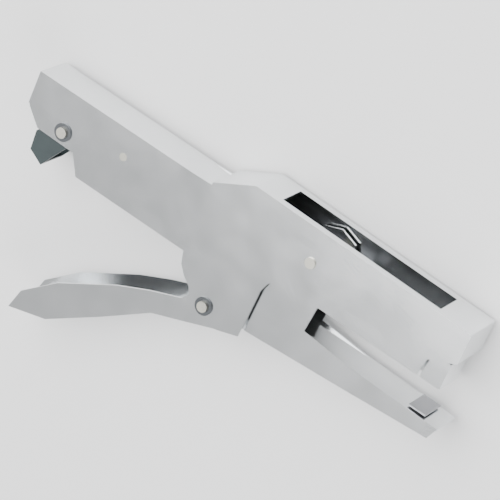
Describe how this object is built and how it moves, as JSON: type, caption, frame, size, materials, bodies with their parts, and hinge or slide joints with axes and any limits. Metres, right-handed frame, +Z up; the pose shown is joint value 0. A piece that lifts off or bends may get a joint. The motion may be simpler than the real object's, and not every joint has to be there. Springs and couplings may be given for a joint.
{
  "type": "plier stapler",
  "caption": "Hand-held metal plier stapler with a squeezed lever, a hinged anvil arm and a lift-up staple magazine.",
  "frame": {"origin": "on the main pivot's axis, at the outer face of its head, which is the plane the stapler lies on", "axes": "+X to the nose, +Y to the top, +Z up across the width"},
  "size_m": [0.1845, 0.0967, 0.0206],
  "materials": {
    "chrome": "polished",
    "nickel": "satin",
    "dark_steel": "oiled",
    "spring_steel": "satin",
    "staple_wire": "bright",
    "black_paint": "semi-gloss"
  },
  "bodies": {
    "shell": {"body_shell": "chrome", "main_pivot_pin": "nickel", "main_pin_clip": "dark_steel", "lock_pin": "nickel", "lock_pin_clip": "dark_steel", "arm_pivot_rivets": "nickel", "arm_pivot_washers": "nickel", "magazine_hinge_pin": "nickel", "driver_blade": "spring_steel", "driver_holder": "spring_steel"},
    "lever": {"hand_lever": "chrome", "drive_pin": "nickel"},
    "arm": {"anvil_arm": "chrome", "anvil_plate": "spring_steel"},
    "magazine": {"magazine_channel": "chrome", "nose_piece": "chrome", "staple_core": "spring_steel", "staple_strip": "staple_wire", "follower_rod": "spring_steel", "follower_spring": "spring_steel"},
    "follower": {"follower": "spring_steel"},
    "lock": {"handle_lock": "black_paint"}
  },
  "joints": [
    {"name": "lever_pivot", "type": "hinge", "parent": "shell", "child": "lever", "pos_m": [0, 0, 0.01], "axis": [0, 0, 1], "range_deg": [-34, 0], "stiffness_Nm_per_rad": 0.3},
    {"name": "arm_pivot", "type": "hinge", "parent": "shell", "child": "arm", "pos_m": [0.0289, 0.0371, 0.01], "axis": [0, 0, 1], "range_deg": [0, 17]},
    {"name": "magazine_pivot", "type": "hinge", "parent": "shell", "child": "magazine", "pos_m": [-0.05, 0.03, 0.01], "axis": [0, 0, 1], "range_deg": [0, 2.7]},
    {"name": "follower_slide", "type": "slide", "parent": "magazine", "child": "follower", "axis": [1, 0, 0], "range_m": [-0.03, 0], "deforming": ["follower_spring"]},
    {"name": "lock_pivot", "type": "hinge", "parent": "shell", "child": "lock", "pos_m": [-0.0747, 0.0249, 0.01], "axis": [0, 0, 1], "range_deg": [-20, 5]}
  ],
  "couplings": [
    {"joint": "arm_pivot", "follows": "lever_pivot", "ratio": -0.5},
    {"joint": "magazine_pivot", "follows": "lever_pivot", "ratio": -0.0794}
  ]
}
